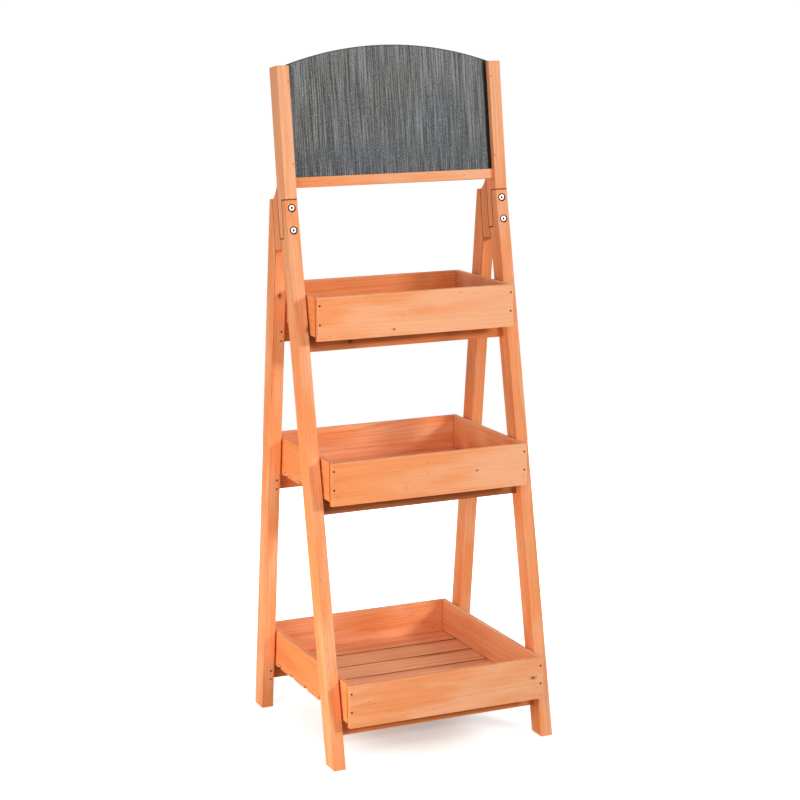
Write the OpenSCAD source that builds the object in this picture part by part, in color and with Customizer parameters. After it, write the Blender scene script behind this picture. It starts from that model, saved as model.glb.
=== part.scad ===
// Ladder-shaped plant stand in stained fir: two raked leg pairs bolted to header posts,
// a chalkboard between the posts and three slatted trays hung over pairs of cross rails.
// X runs to the right, Y to the back and Z up. The origin is on the floor, below the
// middle of the bottom tray. Sizes are in millimetres and angles in degrees.

/* [Stand] */
// Width across the outer faces of the legs
stand_w = 450; // [400:5:500]
// Depth on the floor, from the front of the front legs to the back of the rear legs
foot_d = 420; // [400:5:450]
// Height of the joint line between a front leg and its post, at the front face
joint_h = 1027; // [1000:1:1050]
// Height of the header above the joint line, to the top of the arch
header_h = 273; // [230:1:330]
// Lean of the front legs from upright
front_lean = 10.8; // [10:0.1:11.5]
// Lean of the header posts from upright
post_lean = 7.3; // [6:0.1:8]

/* [Legs and posts] */
// Width of a leg or post, seen from the front
leg_w = 23.5; // [20:0.5:28]
// Depth of a leg or post, square to its length
leg_d = 39; // [34:1:44]
// Thickness that the front leg keeps in front of the post's tongue
lap_d = 19.5; // [16:0.5:21]
// Length of the post's tongue below the joint line
tongue_l = 70; // [60:1:80]
// Thickness of the rear leg's tip behind the joint block
tip_d = 15; // [12:0.5:18]

/* [Joint block] */
// Thickness of the joint block
block_t = 28; // [24:1:32]
// Length of the block below the joint line
block_drop = 91; // [84:1:98]
// Height of the block's back edge above the joint line
block_top = 3; // [0:1:8]
// Height of the block's front edge above the joint line
cove_top = 28; // [22:1:34]
// Radius of the hollow cut across the top of the block
cove_r = 60; // [45:1:90]

/* [Bolts] */
// Distance of the upper bolt below the joint line
bolt_first = 15.5; // [13:0.5:18]
// Distance between the two bolts of a joint
bolt_pitch = 40.5; // [36:0.5:44]
// Diameter of the bolt shank
bolt_d = 6; // [5:0.5:7]
// Diameter of the bolt head
head_d = 10.5; // [10:0.5:12]
// Height of the bolt head
head_h = 6; // [4:0.5:7]
// Width of the hexagon socket across its flats
socket_w = 4.5; // [4:0.5:5]
// Depth of the hexagon socket
socket_deep = 3; // [2:0.5:3.5]
// Depth of the head's outer face below the leg's face
head_sink = 0.8; // [0.4:0.1:1.5]
// Diameter of the recesses for heads and nuts
recess_d = 14.5; // [14:0.5:16]
// Wood left between the block and the nut recess
seat_t = 12; // [10:0.5:13]
// Diameter of the washer under the nut
washer_d = 12.5; // [12:0.5:13.5]
// Thickness of the washer
washer_t = 1.2; // [1:0.1:1.6]
// Width of the nut across its flats
nut_w = 10; // [9:0.5:11]
// Height of the nut
nut_h = 5; // [4:0.5:5.5]
// Bolt end showing past the nut
bolt_end = 1.5; // [1:0.5:2]
// Gap round the shank in its hole
bolt_fit = 0.25; // [0.2:0.05:0.4]
// Gap round the shank in its nut
nut_fit = 0.05; // [0.05:0.05:0.15]

/* [Chalkboard] */
// Rise of the arch above the tops of the posts
arch_rise = 35; // [25:1:45]
// Height of the arch's ends above the tops of the posts
arch_end = 2.5; // [1.5:0.5:6]
// Thickness of the panel
board_t = 6; // [4:0.5:8]
// Distance of the panel behind the front faces of the posts
board_set = 12.5; // [10:0.5:16]
// Depth of the grooves that hold the panel
groove_deep = 5; // [4:0.5:7]
// Gap round the panel in its grooves
groove_fit = 0.25; // [0.2:0.05:0.4]
// Height of the ledge's underside above the joint line
ledge_up = 21; // [16:1:28]
// Height of the ledge below the panel
ledge_h = 18.5; // [16:0.5:24]
// Depth of the ledge, front to back
ledge_d = 22; // [20:0.5:24]
// Distance of the ledge behind the front faces of the posts
ledge_set = 8; // [6:0.5:9]
// Distance of the lower pins above the ledge's top
pin_low = 24.5; // [15:0.5:35]
// Distance of the upper pins below the tops of the posts
pin_high = 28.8; // [15:0.1:40]
// Distance of the pins from the inner faces of the posts
pin_in = 3; // [2.5:0.1:3.4]
// Wood left behind the point of a pin
pin_end = 5; // [3:0.5:8]

/* [Rails] */
// Heights of the rails' tops: top, middle and bottom tray
level_z = [782.5, 488, 88.5];
// Height of a rail
rail_h = 33.5; // [28:0.5:38]
// Distance of the rails behind the front faces of the legs
rail_set = 19.5; // [17:0.5:22]
// Length of rail end let into each leg
rail_in = 12; // [10:0.5:14]
// Distance of the rail nails from the inner face of the leg
rail_nail_in = 6.5; // [5:0.5:8]
// Distance between the two nails in a rail end
rail_nail_gap = 18; // [14:0.5:20]
// Length of a rail nail
rail_nail_l = 36; // [32:1:37]

/* [Trays] */
// Gaps from the front rail to the tray's front board: top, middle and bottom
front_gap = [42.8, 43.6, 37.2];
// Gaps from the rear rail to the tray's back board: top, middle and bottom
back_gap = [34, 8, 6.5];
// Gap between a tray and the leg on each side
side_gap = 3.5; // [2:0.5:6]
// Height of the front and back boards
tray_h = 80; // [70:1:95]
// Thickness of the boards
board_w = 10; // [8:0.5:13]
// How far the front and back boards reach below the slats
lip = 7; // [4:0.5:10]
// Thickness of the slats
slat_t = 7; // [5:0.5:9]
// Width of the slats
slat_w = 60; // [50:1:66]
// Number of slats: top, middle and bottom tray
slat_n = [3, 4, 6];
// Heights of the corner nails above the bottom of the boards
corner_nail_z = [30, 65];
// Length of a corner nail
corner_nail_l = 32; // [28:1:38]
// Length of a slat nail
slat_nail_l = 25; // [20:1:30]

/* [Nails] */
// Diameter of a nail's shank
nail_d = 2; // [1.6:0.1:2.4]
// Diameter of a nail's head
nail_head_d = 3.8; // [3.2:0.1:4.4]
// Thickness of a nail's head
nail_head_t = 0.8; // [0.5:0.1:1]
// Gap round a nail in its hole
nail_fit = 0.05; // [0.05:0.05:0.15]

/* [Hidden] */
$fn = 48;
far = 4000;
over = 1;
left = -1;
right = 1;
TOP = 0;
MIDDLE = 1;
BOTTOM = 2;
wood = "#e89c6c";
side_wood = "#dc8f5f";
slat_wood = "#e2a070";
steel = "#c8ccd0";
slate = "#5c6164";

// Main points of the side view, in Y, with the feet even about zero
inner_x = stand_w / 2 - leg_w;
joint_y = -foot_d / 2 + joint_h * tan(front_lean);
block_back = leg_d + block_t;
nut_seat = block_back + seat_t;
rear_top = joint_h - block_back * sin(post_lean) + block_top * cos(post_lean);
tip_y = joint_y + block_back * cos(post_lean) + block_top * sin(post_lean) + tip_d;
rear_lean = atan((foot_d / 2 - tip_y) / rear_top);

// Chalkboard, measured along the posts from the joint line
board_top = (header_h + board_set * sin(post_lean)) / cos(post_lean);
post_l = board_top - arch_rise;
arch_h = arch_rise - arch_end;
arch_r = (inner_x * inner_x + arch_h * arch_h) / (2 * arch_h);
groove_w = board_t + 2 * groove_fit;
ledge_top = ledge_up + ledge_h;
pin_up = [ledge_top + pin_low, post_l - pin_high];
pin_l = leg_d - pin_end;

// Trays
tray_w = 2 * (inner_x - side_gap);
slat_nail_in = board_w / 2;
function front_rail_y(z) = -foot_d / 2 + z * tan(front_lean) + rail_set / cos(front_lean);
function rear_rail_y(z) = foot_d / 2 - z * tan(rear_lean) - (leg_d - rail_set) / cos(rear_lean);
function tray_back_y(i) = foot_d / 2 - level_z[i] * tan(rear_lean) + back_gap[i] + board_w;
function tray_front_y(i) = front_rail_y(tray_z(i)) - front_gap[i] - board_w;
function tray_d(i) = tray_back_y(i) - tray_front_y(i);
function tray_z(i) = level_z[i] - lip;
function slat_step(i) = (tray_d(i) - 2 * board_w - slat_w) / (slat_n[i] - 1);
function slat_y(i, k) = tray_front_y(i) + board_w + k * slat_step(i);

// The whole stand moves in Y so that the bottom tray is centred on the origin
stand_y = -(tray_back_y(BOTTOM) + tray_front_y(BOTTOM)) / 2;

// Places of the front leg's two faces across the post, at a height along the post
function leg_face(s) = s * tan(front_lean - post_lean);
function leg_back(s) = leg_face(s) + leg_d / cos(front_lean - post_lean);

module placed() {
    translate([0, stand_y, 0]) children();
}

// Side view outline to a solid between two X positions
module side_solid(x_from, x_to) {
    translate([x_from, 0, 0]) rotate([90, 0, 90]) linear_extrude(x_to - x_from) children();
}

// The frame of a post, in the side view and in space: across it, then along it
module post_view() {
    translate([joint_y, joint_h]) rotate(-post_lean) children();
}

module post_frame() {
    translate([0, joint_y, joint_h]) rotate([-post_lean, 0, 0]) children();
}

module leg_span(side) {
    edge = side * stand_w / 2;
    inner = side * inner_x;
    side_solid(min(edge, inner), max(edge, inner)) children();
}

// A nail driven along +Y from the face at Y = 0, its head flush, or the hole for it
module nail(l, hole = false) {
    gap = hole ? nail_fit : 0;
    early = hole ? over : 0;
    rotate([-90, 0, 0]) translate([0, 0, -early]) {
        cylinder(h = l + early, r = nail_d / 2 + gap);
        cylinder(h = nail_head_t + early, r = nail_head_d / 2 + gap);
    }
}

module front_leg_view() {
    difference() {
        translate([-foot_d / 2, 0]) rotate(-front_lean)
            translate([0, -leg_d]) square([leg_d, far]);
        translate([-far / 2, -far]) square([far, far]);
        post_view() translate([-far / 2, 0]) square([far, far]);
        post_view() translate([lap_d, -tongue_l]) square([far, far]);
    }
}

module rear_leg_view() {
    difference() {
        translate([foot_d / 2, 0]) rotate(rear_lean)
            translate([-leg_d, -leg_d]) square([leg_d, far]);
        translate([-far / 2, -far]) square([far, far]);
        translate([-far / 2, rear_top]) square([far, far]);
        post_view() translate([block_back - far, -far / 2]) square([far, far]);
    }
}

module post_outline() {
    post_view() polygon([[0, 0], [0, post_l], [leg_d, post_l], [leg_d, -tongue_l],
        [lap_d, -tongue_l], [lap_d, 0]]);
}

// The top is hollowed by a round cutter through the block's front and back top edges
module block_view() {
    rise = [leg_d - block_back, cove_top - block_top];
    half = norm(rise) / 2;
    reach = sqrt(cove_r * cove_r - half * half);
    mid = [(leg_d + block_back) / 2, (cove_top + block_top) / 2];
    centre = mid + reach / (2 * half) * [rise[1], -rise[0]];
    post_view() difference() {
        polygon([[leg_back(-block_drop), -block_drop], [block_back, -block_drop],
            [block_back, block_top], [leg_d, cove_top], [leg_d, -tongue_l],
            [leg_back(-tongue_l), -tongue_l]]);
        translate(centre) circle(cove_r, $fn = 120);
    }
}

// Bolt places, on the axis of a bolt where it meets the post's front plane. $drop tells
// the pieces drawn there how far below the joint line they are.
module bolt_spots(sides) {
    for (side = sides)
        for (k = [0, 1]) {
            $drop = bolt_first + k * bolt_pitch;
            post_frame() translate([side * (stand_w - leg_w) / 2, 0, -$drop])
                rotate([-90, 0, 0]) children();
        }
}

function bolt_seat(drop) = leg_face(-drop) + head_sink + head_h;

module bolt_hole() {
    translate([0, 0, -far / 2]) cylinder(h = far, r = bolt_d / 2 + bolt_fit);
    translate([0, 0, bolt_seat($drop) - far]) cylinder(h = far, r = recess_d / 2);
    translate([0, 0, nut_seat]) cylinder(h = far, r = recess_d / 2);
}

module bolt() {
    seat = bolt_seat($drop);
    tip = nut_seat + washer_t + nut_h + bolt_end;
    translate([0, 0, seat]) cylinder(h = tip - seat, r = bolt_d / 2);
    difference() {
        translate([0, 0, seat - head_h]) cylinder(h = head_h, r = head_d / 2);
        translate([0, 0, seat - head_h - over])
            cylinder(h = socket_deep + over, r = socket_w / sqrt(3), $fn = 6);
    }
}

module washer() {
    translate([0, 0, nut_seat]) difference() {
        cylinder(h = washer_t, r = washer_d / 2);
        translate([0, 0, -over]) cylinder(h = washer_t + 2 * over, r = bolt_d / 2 + bolt_fit);
    }
}

module nut() {
    translate([0, 0, nut_seat + washer_t]) difference() {
        cylinder(h = nut_h, r = nut_w / sqrt(3), $fn = 6);
        translate([0, 0, -over]) cylinder(h = nut_h + 2 * over, r = bolt_d / 2 + nut_fit);
    }
}

// Rails, let into pockets at the backs of the legs. A pocket reaches past the leg's back.
// The front rails are nailed from behind, so that no nail shows on the front legs, and
// the rear rails from the front, through the rear legs.
module front_rail(i, past = 0) {
    z0 = level_z[i] - rail_h;
    z1 = level_z[i];
    back = (leg_d - rail_set) / cos(front_lean) + past;
    side_solid(-inner_x - rail_in, inner_x + rail_in)
        polygon([[front_rail_y(z0), z0], [front_rail_y(z0) + back, z0],
            [front_rail_y(z1) + back, z1], [front_rail_y(z1), z1]]);
}

module rear_rail(i, past = 0) {
    z0 = level_z[i] - rail_h;
    z1 = level_z[i];
    back = (leg_d - rail_set) / cos(rear_lean) + past;
    side_solid(-inner_x - rail_in, inner_x + rail_in)
        polygon([[rear_rail_y(z0), z0], [rear_rail_y(z0) + back, z0],
            [rear_rail_y(z1) + back, z1], [rear_rail_y(z1), z1]]);
}

module front_nails(hole = false) {
    for (z = level_z)
        for (side = [left, right])
            for (up = [-1, 1]) {
                nail_z = z - rail_h / 2 + up * rail_nail_gap / 2;
                translate([side * (inner_x + rail_nail_in), front_rail_y(nail_z), nail_z])
                    rotate([-front_lean, 0, 0]) translate([0, leg_d - rail_set, 0])
                        rotate([0, 0, 180]) nail(rail_nail_l, hole);
            }
}

module rear_nails(hole = false) {
    for (z = level_z)
        for (side = [left, right])
            for (up = [-1, 1]) {
                nail_z = z - rail_h / 2 + up * rail_nail_gap / 2;
                translate([side * (inner_x + rail_nail_in), rear_rail_y(nail_z), nail_z])
                    rotate([rear_lean, 0, 0]) translate([0, -rail_set, 0]) nail(rail_nail_l, hole);
            }
}

module front_leg(side) {
    color(wood) placed() difference() {
        leg_span(side) front_leg_view();
        for (i = [TOP, MIDDLE, BOTTOM]) front_rail(i, over);
        bolt_spots([side]) bolt_hole();
        front_nails(true);
    }
}

module rear_leg(side) {
    color(side_wood) placed() difference() {
        leg_span(side) rear_leg_view();
        for (i = [TOP, MIDDLE, BOTTOM]) rear_rail(i, over);
        bolt_spots([side]) bolt_hole();
        rear_nails(true);
    }
}

module header_post(side) {
    color(wood) placed() difference() {
        leg_span(side) post_outline();
        bolt_spots([side]) bolt_hole();
        post_frame() translate([-inner_x - groove_deep - groove_fit, board_set - groove_fit, ledge_top])
            cube([2 * (inner_x + groove_deep + groove_fit), groove_w, far]);
        pins(true);
    }
}

module joint_block(side) {
    color(side_wood) placed() difference() {
        leg_span(side) block_view();
        bolt_spots([side]) bolt_hole();
    }
}

// Chalkboard, its ledge and its pins. The panel's lower corners are notched, so that its
// foot drops into the ledge between the posts.
module board_blank() {
    half = inner_x + groove_deep;
    foot = ledge_top - groove_deep;
    post_frame() translate([0, board_set + board_t, 0]) rotate([90, 0, 0]) linear_extrude(board_t)
        difference() {
            intersection() {
                translate([-half, foot]) square([2 * half, board_top - foot + over]);
                translate([0, board_top - arch_r]) circle(arch_r, $fn = 360);
            }
            for (side = [left, right])
                translate([side * half, foot]) square(2 * (groove_deep + groove_fit), center = true);
        }
}

module pins(hole = false) {
    for (side = [left, right])
        for (up = pin_up)
            post_frame() translate([side * (inner_x + pin_in), 0, up]) nail(pin_l, hole);
}

module chalkboard() {
    color(slate) placed() difference() {
        board_blank();
        pins(true);
    }
}

module chalkboard_ledge() {
    color(wood) placed() post_frame() difference() {
        translate([-inner_x, ledge_set, ledge_up]) cube([2 * inner_x, ledge_d, ledge_h]);
        translate([-inner_x - over, board_set - groove_fit, ledge_top - groove_deep])
            cube([2 * (inner_x + over), groove_w, groove_deep + over]);
    }
}

// Tray boards, written from the tray's own front, back and bottom
module corner_nails(i, hole = false) {
    for (x = [-1, 1] * (tray_w - board_w) / 2)
        for (z = corner_nail_z) {
            translate([x, tray_front_y(i), tray_z(i) + z]) nail(corner_nail_l, hole);
            translate([x, tray_back_y(i), tray_z(i) + z]) rotate([0, 0, 180]) nail(corner_nail_l, hole);
        }
}

module slat_nails(i, hole = false) {
    for (x = [-1, 1] * (tray_w / 2 - slat_nail_in))
        for (k = [0 : slat_n[i] - 1])
            translate([x, slat_y(i, k) + slat_w / 2, level_z[i]]) rotate([90, 0, 0]) nail(slat_nail_l, hole);
}

module end_board(i, y) {
    color(wood) placed() difference() {
        translate([-tray_w / 2, y, tray_z(i)]) cube([tray_w, board_w, tray_h]);
        corner_nails(i, true);
    }
}

module tray_front(i) {
    end_board(i, tray_front_y(i));
}

module tray_back(i) {
    end_board(i, tray_back_y(i) - board_w);
}

module tray_side(i, side) {
    bottom = level_z[i] + slat_t;
    color(side_wood) placed() difference() {
        translate([side * (tray_w - board_w) / 2 - board_w / 2, tray_front_y(i) + board_w, bottom])
            cube([board_w, tray_d(i) - 2 * board_w, tray_z(i) + tray_h - bottom]);
        corner_nails(i, true);
        slat_nails(i, true);
    }
}

module slat(i, k) {
    color(slat_wood) placed() difference() {
        translate([-tray_w / 2, slat_y(i, k - 1), level_z[i]]) cube([tray_w, slat_w, slat_t]);
        slat_nails(i, true);
    }
}

module tray_nails(i) {
    color(steel) placed() {
        corner_nails(i);
        slat_nails(i);
    }
}

module joint_bolts() {
    color(steel) placed() bolt_spots([left, right]) bolt();
}

module joint_washers() {
    color(steel) placed() bolt_spots([left, right]) washer();
}

module joint_nuts() {
    color(steel) placed() bolt_spots([left, right]) nut();
}

module chalkboard_pins() {
    color(steel) placed() pins();
}

module rail_nails() {
    color(steel) placed() {
        front_nails();
        rear_nails();
    }
}

module placed_front_rail(i) {
    color(wood) placed() difference() {
        front_rail(i);
        front_nails(true);
    }
}

module placed_rear_rail(i) {
    color(wood) placed() difference() {
        rear_rail(i);
        rear_nails(true);
    }
}

front_leg(left);  // front_leg_left
front_leg(right);  // front_leg_right
rear_leg(left);  // rear_leg_left
rear_leg(right);  // rear_leg_right
header_post(left);  // header_post_left
header_post(right);  // header_post_right
joint_block(left);  // joint_block_left
joint_block(right);  // joint_block_right
joint_bolts();
joint_washers();
joint_nuts();
chalkboard();
chalkboard_ledge();
chalkboard_pins();
placed_front_rail(TOP);  // front_rail_top
placed_front_rail(MIDDLE);  // front_rail_middle
placed_front_rail(BOTTOM);  // front_rail_bottom
placed_rear_rail(TOP);  // rear_rail_top
placed_rear_rail(MIDDLE);  // rear_rail_middle
placed_rear_rail(BOTTOM);  // rear_rail_bottom
rail_nails();
tray_front(TOP);  // top_tray_front
tray_back(TOP);  // top_tray_back
tray_side(TOP, left);  // top_tray_left
tray_side(TOP, right);  // top_tray_right
slat(TOP, 1);  // top_tray_slat_1
slat(TOP, 2);  // top_tray_slat_2
slat(TOP, 3);  // top_tray_slat_3
tray_nails(TOP);  // top_tray_nails
tray_front(MIDDLE);  // middle_tray_front
tray_back(MIDDLE);  // middle_tray_back
tray_side(MIDDLE, left);  // middle_tray_left
tray_side(MIDDLE, right);  // middle_tray_right
slat(MIDDLE, 1);  // middle_tray_slat_1
slat(MIDDLE, 2);  // middle_tray_slat_2
slat(MIDDLE, 3);  // middle_tray_slat_3
slat(MIDDLE, 4);  // middle_tray_slat_4
tray_nails(MIDDLE);  // middle_tray_nails
tray_front(BOTTOM);  // bottom_tray_front
tray_back(BOTTOM);  // bottom_tray_back
tray_side(BOTTOM, left);  // bottom_tray_left
tray_side(BOTTOM, right);  // bottom_tray_right
slat(BOTTOM, 1);  // bottom_tray_slat_1
slat(BOTTOM, 2);  // bottom_tray_slat_2
slat(BOTTOM, 3);  // bottom_tray_slat_3
slat(BOTTOM, 4);  // bottom_tray_slat_4
slat(BOTTOM, 5);  // bottom_tray_slat_5
slat(BOTTOM, 6);  // bottom_tray_slat_6
tray_nails(BOTTOM);  // bottom_tray_nails
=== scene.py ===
# %% [markdown]
# # A ladder-shaped plant stand in stained fir
# Two raked leg pairs are bolted to a pair of header posts with a chalkboard between them,
# and three slatted trays hang over pairs of cross rails. Every board is a surface worked
# out with numpy from the sizes on the drawing, its holes are cut with a Boolean, and one
# solid wood pattern runs through all of them, so that each board looks sawn from a log.

# %% Load the frame that everything is built around
import bmesh
import bpy
import numpy as np
from mathutils import Matrix, Vector


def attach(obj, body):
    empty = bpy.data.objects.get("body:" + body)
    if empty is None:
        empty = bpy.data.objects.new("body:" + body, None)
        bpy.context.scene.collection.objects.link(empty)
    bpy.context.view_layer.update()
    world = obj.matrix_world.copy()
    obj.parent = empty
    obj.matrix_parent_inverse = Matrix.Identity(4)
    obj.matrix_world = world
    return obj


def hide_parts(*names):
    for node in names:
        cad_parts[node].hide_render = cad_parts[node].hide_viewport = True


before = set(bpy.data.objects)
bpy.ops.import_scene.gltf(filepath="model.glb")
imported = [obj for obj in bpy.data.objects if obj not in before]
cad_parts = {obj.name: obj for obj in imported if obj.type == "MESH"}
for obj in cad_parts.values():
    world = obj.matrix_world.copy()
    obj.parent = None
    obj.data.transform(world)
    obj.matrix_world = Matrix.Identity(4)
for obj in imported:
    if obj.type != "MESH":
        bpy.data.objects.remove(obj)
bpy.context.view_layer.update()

# %% [markdown]
# ## The drawing
# Lengths are in millimetres and angles in degrees, as on a workshop drawing, and turn to
# metres only when a mesh is made. X runs to the right, Y to the back and Z up. Writing the
# sizes once at the top means that a leg and the hole in it can't drift apart.

# %% Sizes of legs, posts and blocks
STAND_W, FOOT_D, JOINT_H, HEADER_H = 450.0, 420.0, 1027.0, 273.0
LEG_W, LEG_D, LAP_D, TONGUE_L, TIP_D = 23.5, 39.0, 19.5, 70.0, 15.0
BLOCK_T, BLOCK_DROP, BLOCK_TOP, COVE_TOP, COVE_R = 28.0, 91.0, 3.0, 28.0, 60.0
FRONT_LEAN, POST_LEAN = np.radians(10.8), np.radians(7.3)
SIDES = {"left": -1, "right": 1}

INNER_X = STAND_W / 2 - LEG_W
JOINT_Y = -FOOT_D / 2 + JOINT_H * np.tan(FRONT_LEAN)
BLOCK_BACK = LEG_D + BLOCK_T
REAR_TOP = JOINT_H - BLOCK_BACK * np.sin(POST_LEAN) + BLOCK_TOP * np.cos(POST_LEAN)
TIP_Y = JOINT_Y + BLOCK_BACK * np.cos(POST_LEAN) + BLOCK_TOP * np.sin(POST_LEAN) + TIP_D
REAR_LEAN = np.arctan((FOOT_D / 2 - TIP_Y) / REAR_TOP)
print("rear legs lean", round(float(np.degrees(REAR_LEAN)), 2), "degrees")

# %% Sizes of the chalkboard, the rails and the trays
ARCH_RISE, ARCH_END, BOARD_T, BOARD_SET, GROOVE_DEEP, GROOVE_FIT = 35.0, 2.5, 6.0, 12.5, 5.0, 0.25
LEDGE_UP, LEDGE_H, LEDGE_D, LEDGE_SET = 21.0, 18.5, 22.0, 8.0
BOARD_TOP = (HEADER_H + BOARD_SET * np.sin(POST_LEAN)) / np.cos(POST_LEAN)
POST_L = BOARD_TOP - ARCH_RISE
LEDGE_TOP = LEDGE_UP + LEDGE_H
ARCH_H = ARCH_RISE - ARCH_END
ARCH_R = (INNER_X ** 2 + ARCH_H ** 2) / (2 * ARCH_H)
PIN_UP, PIN_IN, PIN_END = (LEDGE_TOP + 24.5, POST_L - 28.8), 3.0, 5.0

LEVELS = ("top", "middle", "bottom")
LEVEL_Z = dict(zip(LEVELS, (782.5, 488.0, 88.5)))
FRONT_GAP = dict(zip(LEVELS, (42.8, 43.6, 37.2)))
BACK_GAP = dict(zip(LEVELS, (34.0, 8.0, 6.5)))
SLATS = dict(zip(LEVELS, (3, 4, 6)))
RAIL_H, RAIL_SET, RAIL_IN, RAIL_NAIL_IN, RAIL_NAIL_GAP = 33.5, 19.5, 12.0, 6.5, 18.0
SIDE_GAP, TRAY_H, WALL, LIP, SLAT_T, SLAT_W = 3.5, 80.0, 10.0, 7.0, 7.0, 60.0
CORNER_NAIL_Z = (30.0, 65.0)
TRAY_W = 2 * (INNER_X - SIDE_GAP)


def front_rail_y(z):
    """Front face of a front rail at height z."""
    return -FOOT_D / 2 + z * np.tan(FRONT_LEAN) + RAIL_SET / np.cos(FRONT_LEAN)


def rear_rail_y(z):
    """Front face of a rear rail at height z."""
    return FOOT_D / 2 - z * np.tan(REAR_LEAN) - (LEG_D - RAIL_SET) / np.cos(REAR_LEAN)


def tray_span(level):
    """Front and back of a tray, outside."""
    z = LEVEL_Z[level]
    return (front_rail_y(z - LIP) - FRONT_GAP[level] - WALL,
            FOOT_D / 2 - z * np.tan(REAR_LEAN) + BACK_GAP[level] + WALL)


STAND_Y = -sum(tray_span("bottom")) / 2
for level in LEVELS:
    print(level, "tray, front to back:", [round(float(v + STAND_Y), 1) for v in tray_span(level)])

# %% [markdown]
# ## Camera
# The stand was photographed from its left with a long lens, from a little higher than its
# top and tilted down. The camera's place and turn come from fitting about seventy of its
# corners and edges, so they are odd numbers. The turn is built from the camera's own three
# directions: to its right, up and back.

# %% Camera
CAMERA_AT = np.array([-1.5536, -3.5285, 1.3901])
YAW, PITCH, ROLL = np.radians([23.816, -11.074, -0.499])
FOCAL_PIXELS, FRAME_PIXELS, SENSOR = 2069.97, 800.0, 36.0


def in_scene(name, data):
    """A new object with its mesh, lamp or camera, put into the scene."""
    made = bpy.data.objects.new(name, data)
    bpy.context.scene.collection.objects.link(made)
    return made


ahead = np.array([np.sin(YAW) * np.cos(PITCH), np.cos(YAW) * np.cos(PITCH), np.sin(PITCH)])
level_right = np.array([np.cos(YAW), -np.sin(YAW), 0.0])
level_up = np.cross(level_right, ahead)
view_right = level_right * np.cos(ROLL) + level_up * np.sin(ROLL)
view_up = level_up * np.cos(ROLL) - level_right * np.sin(ROLL)
camera_data = bpy.data.cameras.new("camera")
camera_data.sensor_width = SENSOR
camera_data.lens = FOCAL_PIXELS / FRAME_PIXELS * SENSOR
camera = in_scene("camera", camera_data)
turn = Matrix(np.column_stack([view_right, view_up, -ahead]).tolist()).to_4x4()
camera.matrix_world = Matrix.Translation(CAMERA_AT) @ turn
bpy.context.scene.camera = camera
bpy.context.scene.view_settings.view_transform = "Standard"
print("lens", round(camera_data.lens, 2), "mm")

# %% [markdown]
# ## Adding nodes
# A material is a graph of small nodes. One function adds any node: it takes the node's
# type, its settings, and what goes into its sockets, either a number or another node's
# output. A few shorter functions stand on it for the nodes that come up most, so that a
# graph reads from top to bottom like a recipe.

# %% Colours and nodes
def linear(hex_colour):
    """sRGB hex to linear: c / 12.92 below 0.04045, else ((c + 0.055) / 1.055) ** 2.4."""
    c = np.array([int(hex_colour[k:k + 2], 16) for k in (0, 2, 4)]) / 255
    c = np.where(c <= 0.04045, c / 12.92, ((c + 0.055) / 1.055) ** 2.4)
    return (*c.tolist(), 1.0)


def plug(tree, node, sockets):
    """Puts a value or another node's output into each named socket of a node."""
    for name, value in sockets.items():
        if isinstance(value, bpy.types.NodeSocket):
            tree.links.new(value, node.inputs[name])
        else:
            node.inputs[name].default_value = value


def add_node(tree, kind, sockets=None, **settings):
    """One node of a kind, with its settings and what goes into its sockets."""
    made = tree.nodes.new(kind)
    for name, value in settings.items():
        setattr(made, name, value)
    plug(tree, made, sockets or {})
    return made


def new_material(name):
    """An empty material: its tree, and the Principled shader that it ends in."""
    material = bpy.data.materials.new(name)
    material.use_nodes = True
    tree = material.node_tree
    return material, tree, tree.nodes["Principled BSDF"]


def sums(tree, operation, a, b=0.0, c=0.0, clamp=False):
    """One step of arithmetic."""
    made = add_node(tree, "ShaderNodeMath", {0: a, 1: b, 2: c}, operation=operation, use_clamp=clamp)
    return made.outputs[0]


def vector(tree, operation, a, b=(0.0, 0.0, 0.0)):
    """One step of arithmetic on places; a distance or a length comes out as a number."""
    made = add_node(tree, "ShaderNodeVectorMath", {0: a, 1: b}, operation=operation)
    return made.outputs["Value" if operation in ("DISTANCE", "LENGTH") else "Vector"]


def ramp(tree, value, low, high, to_low=0.0, to_high=1.0, shape="LINEAR"):
    """A value between low and high, moved to between to_low and to_high and held there."""
    return add_node(tree, "ShaderNodeMapRange", {"Value": value, "From Min": low, "From Max": high,
                                                 "To Min": to_low, "To Max": to_high},
                    interpolation_type=shape).outputs[0]


def blend(tree, share, first, second):
    """Two colours mixed, each a hex code, four linear numbers or a socket."""
    first, second = (linear(c) if isinstance(c, str) else c for c in (first, second))
    made = add_node(tree, "ShaderNodeMix", {"Factor": share, 6: first, 7: second}, data_type="RGBA")
    return made.outputs[2]


def grains(tree, place, sizes_mm, detail, rough=0.5):
    """Noise in grains of so many millimetres along X, Y and Z of a place in metres."""
    moved = vector(tree, "MULTIPLY", place, tuple(1000 / size for size in sizes_mm))
    return add_node(tree, "ShaderNodeTexNoise", {"Vector": moved, "Scale": 1.0, "Detail": detail,
                                                 "Roughness": rough}).outputs["Fac"]


def mark_of(tree, name, output="Fac"):
    """A mark that is kept on a mesh's points or faces."""
    made = add_node(tree, "ShaderNodeAttribute", attribute_name=name, attribute_type="GEOMETRY")
    return made.outputs[output]


def bumps(tree, height, metres, strength=0.5):
    """Normals of a surface with relief of so many metres."""
    sockets = {"Height": height, "Distance": metres, "Strength": strength}
    return add_node(tree, "ShaderNodeBump", sockets).outputs[0]


# %% [markdown]
# ## Studio
# Shadow edges in the photograph meet at one wide soft lamp, about six metres off to the
# front right and two and a half metres up. The left sides get brighter towards the floor,
# so reflectors stood low on the left, and their light came back warm. A white wall behind
# the stand lights what faces the back, and a dim panel high in front and the pale room
# fill the rest. The camera sees the floor as white paper that melts into the white behind
# it, while the wood gets no more light for that.

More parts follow.
